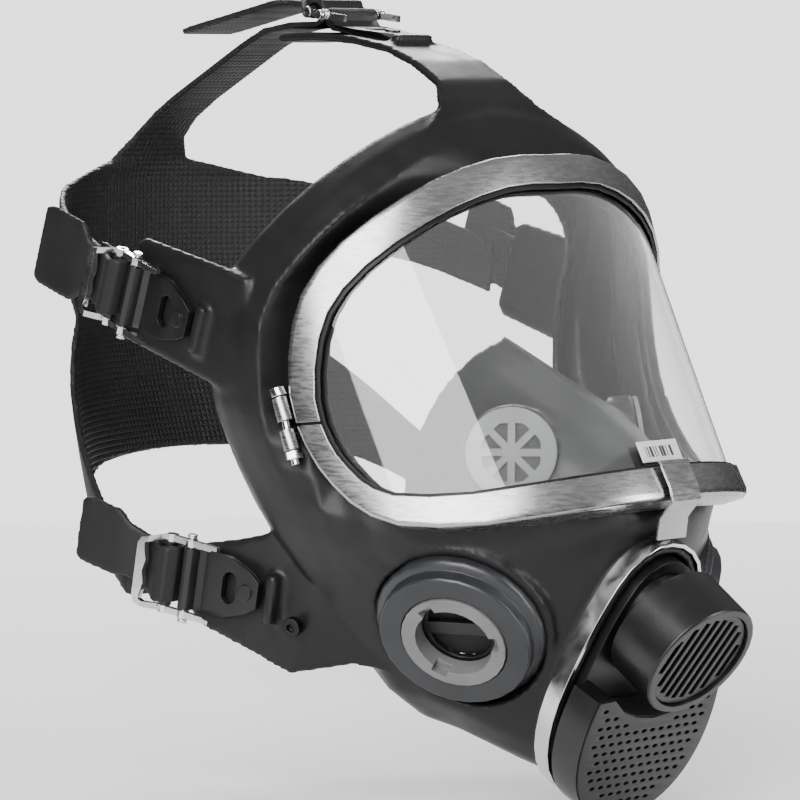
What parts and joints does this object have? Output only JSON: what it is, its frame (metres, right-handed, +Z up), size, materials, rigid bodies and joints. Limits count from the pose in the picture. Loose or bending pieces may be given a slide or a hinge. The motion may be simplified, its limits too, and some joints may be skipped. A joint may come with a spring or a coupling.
{
  "type": "full face respirator",
  "caption": "Full face respirator with a wrap-round visor, bayonet filter ports, a front speech and exhalation unit and a rubber head harness.",
  "frame": {"origin": "centre of the face opening, on the centre plane", "axes": "+Z up on a standing wearer, -Y the way the wearer looks, +X the wearer's left; symmetric about the plane X = 0"},
  "size_m": [0.2024, 0.2846, 0.2684],
  "materials": {
    "rubber": "matte moulded rubber",
    "seal": "matte",
    "harness": "matte with a fine waffle texture inside",
    "silicone": "soft matte",
    "clear": "clear polished",
    "brushed": "brushed",
    "steel": "polished",
    "black": "satin",
    "grey": "satin",
    "light_grey": "satin",
    "plate": "satin"
  },
  "bodies": {
    "mask": {"facepiece": "rubber", "visor": "clear", "visor_seal": "seal", "visor_frame_upper": "brushed", "visor_frame_lower": "brushed", "frame_bolt_left": "steel", "frame_bolt_right": "steel", "frame_nut_left": "steel", "frame_nut_right": "steel", "frame_clip": "brushed", "label_plate": "plate", "clamp_band": "steel", "clamp_barrel_upper_left": "brushed", "clamp_barrel_upper_right": "brushed", "clamp_barrel_lower_left": "brushed", "clamp_barrel_lower_right": "brushed", "neck_stud_left": "steel", "neck_stud_right": "steel", "port_collar_left": "grey", "port_collar_right": "grey", "bayonet_ring_left": "light_grey", "bayonet_ring_right": "light_grey", "valve_seat_left": "black", "valve_seat_right": "black", "nose_cup": "silicone", "cup_valve_seat_left": "black", "cup_valve_seat_right": "black", "connector_housing": "black", "speech_housing": "black", "speech_grille": "black", "speech_diaphragm": "plate", "exhalation_cover": "black", "harness": "harness", "buckle_pin_temple_right": "steel", "buckle_pin_temple_left": "steel", "buckle_pin_lower_right": "steel", "buckle_pin_lower_left": "steel", "buckle_pin_top": "steel", "buckle_tongue_temple_right": "black", "buckle_tongue_temple_left": "black", "buckle_tongue_lower_right": "black", "buckle_tongue_lower_left": "black", "buckle_tongue_top": "black"},
    "buckle_temple_right": {"buckle_frame_temple_right": "steel"},
    "buckle_temple_left": {"buckle_frame_temple_left": "steel"},
    "buckle_lower_right": {"buckle_frame_lower_right": "steel"},
    "buckle_lower_left": {"buckle_frame_lower_left": "steel"},
    "buckle_top": {"buckle_frame_top": "steel"},
    "roller_temple_right": {"buckle_roller_temple_right": "black"},
    "roller_temple_left": {"buckle_roller_temple_left": "black"},
    "roller_lower_right": {"buckle_roller_lower_right": "black"},
    "roller_lower_left": {"buckle_roller_lower_left": "black"},
    "roller_top": {"buckle_roller_top": "black"},
    "inhalation_right": {"inhalation_valve_right": "silicone"},
    "inhalation_left": {"inhalation_valve_left": "silicone"},
    "cup_valve_right": {"cup_valve_disc_right": "silicone"},
    "cup_valve_left": {"cup_valve_disc_left": "silicone"},
    "exhalation": {"exhalation_valve": "silicone"}
  },
  "joints": [
    {"name": "buckle_tilt_temple_right", "type": "hinge", "parent": "mask", "child": "buckle_temple_right", "pos_m": [-0.0945, 0.02795, 0.038], "axis": [0, 0.3261, -0.9453], "range_deg": [-3, 3]},
    {"name": "buckle_tilt_temple_left", "type": "hinge", "parent": "mask", "child": "buckle_temple_left", "pos_m": [0.0945, 0.02795, 0.038], "axis": [0, -0.3261, 0.9453], "range_deg": [-3, 3]},
    {"name": "buckle_tilt_lower_right", "type": "hinge", "parent": "mask", "child": "buckle_lower_right", "pos_m": [-0.08404, 0.01176, -0.05426], "axis": [-0.0347, 0.1613, -0.9863], "range_deg": [-3, 3]},
    {"name": "buckle_tilt_lower_left", "type": "hinge", "parent": "mask", "child": "buckle_lower_left", "pos_m": [0.08404, 0.01176, -0.05426], "axis": [-0.0347, -0.1613, 0.9863], "range_deg": [-3, 3]},
    {"name": "buckle_tilt_top", "type": "hinge", "parent": "mask", "child": "buckle_top", "pos_m": [0, 0.02444, 0.12942], "axis": [-1, 0, 0], "range_deg": [-3, 3]},
    {"name": "roller_spin_temple_right", "type": "hinge", "parent": "buckle_temple_right", "child": "roller_temple_right", "pos_m": [-0.0945, 0.03551, 0.04061], "axis": [0, 0.3261, -0.9453], "continuous": true},
    {"name": "roller_spin_temple_left", "type": "hinge", "parent": "buckle_temple_left", "child": "roller_temple_left", "pos_m": [0.0945, 0.03551, 0.04061], "axis": [0, -0.3261, 0.9453], "continuous": true},
    {"name": "roller_spin_lower_right", "type": "hinge", "parent": "buckle_lower_right", "child": "roller_lower_right", "pos_m": [-0.08571, 0.01948, -0.05294], "axis": [-0.0347, 0.1613, -0.9863], "continuous": true},
    {"name": "roller_spin_lower_left", "type": "hinge", "parent": "buckle_lower_left", "child": "roller_lower_left", "pos_m": [0.08571, 0.01948, -0.05294], "axis": [-0.0347, -0.1613, 0.9863], "continuous": true},
    {"name": "roller_spin_top", "type": "hinge", "parent": "buckle_top", "child": "roller_top", "pos_m": [0, 0.03237, 0.13043], "axis": [-1, 0, 0], "continuous": true},
    {"name": "inhalation_lift_right", "type": "slide", "parent": "mask", "child": "inhalation_right", "axis": [0.7699, 0.37, 0.52], "range_m": [0, 0.0012], "stiffness_N_per_m": 20, "springref_m": -0.0005},
    {"name": "inhalation_lift_left", "type": "slide", "parent": "mask", "child": "inhalation_left", "axis": [-0.7699, 0.37, 0.52], "range_m": [0, 0.0012], "stiffness_N_per_m": 20, "springref_m": -0.0005},
    {"name": "cup_valve_lift_right", "type": "slide", "parent": "mask", "child": "cup_valve_right", "axis": [0.7409, 0.6608, -0.1201], "range_m": [0, 0.0012], "stiffness_N_per_m": 20, "springref_m": -0.0005},
    {"name": "cup_valve_lift_left", "type": "slide", "parent": "mask", "child": "cup_valve_left", "axis": [-0.7409, 0.6608, -0.1201], "range_m": [0, 0.0012], "stiffness_N_per_m": 20, "springref_m": -0.0005},
    {"name": "exhalation_lift", "type": "slide", "parent": "mask", "child": "exhalation", "axis": [0, -0.915, -0.4035], "range_m": [0, 0.0012], "stiffness_N_per_m": 20, "springref_m": -0.0005}
  ]
}
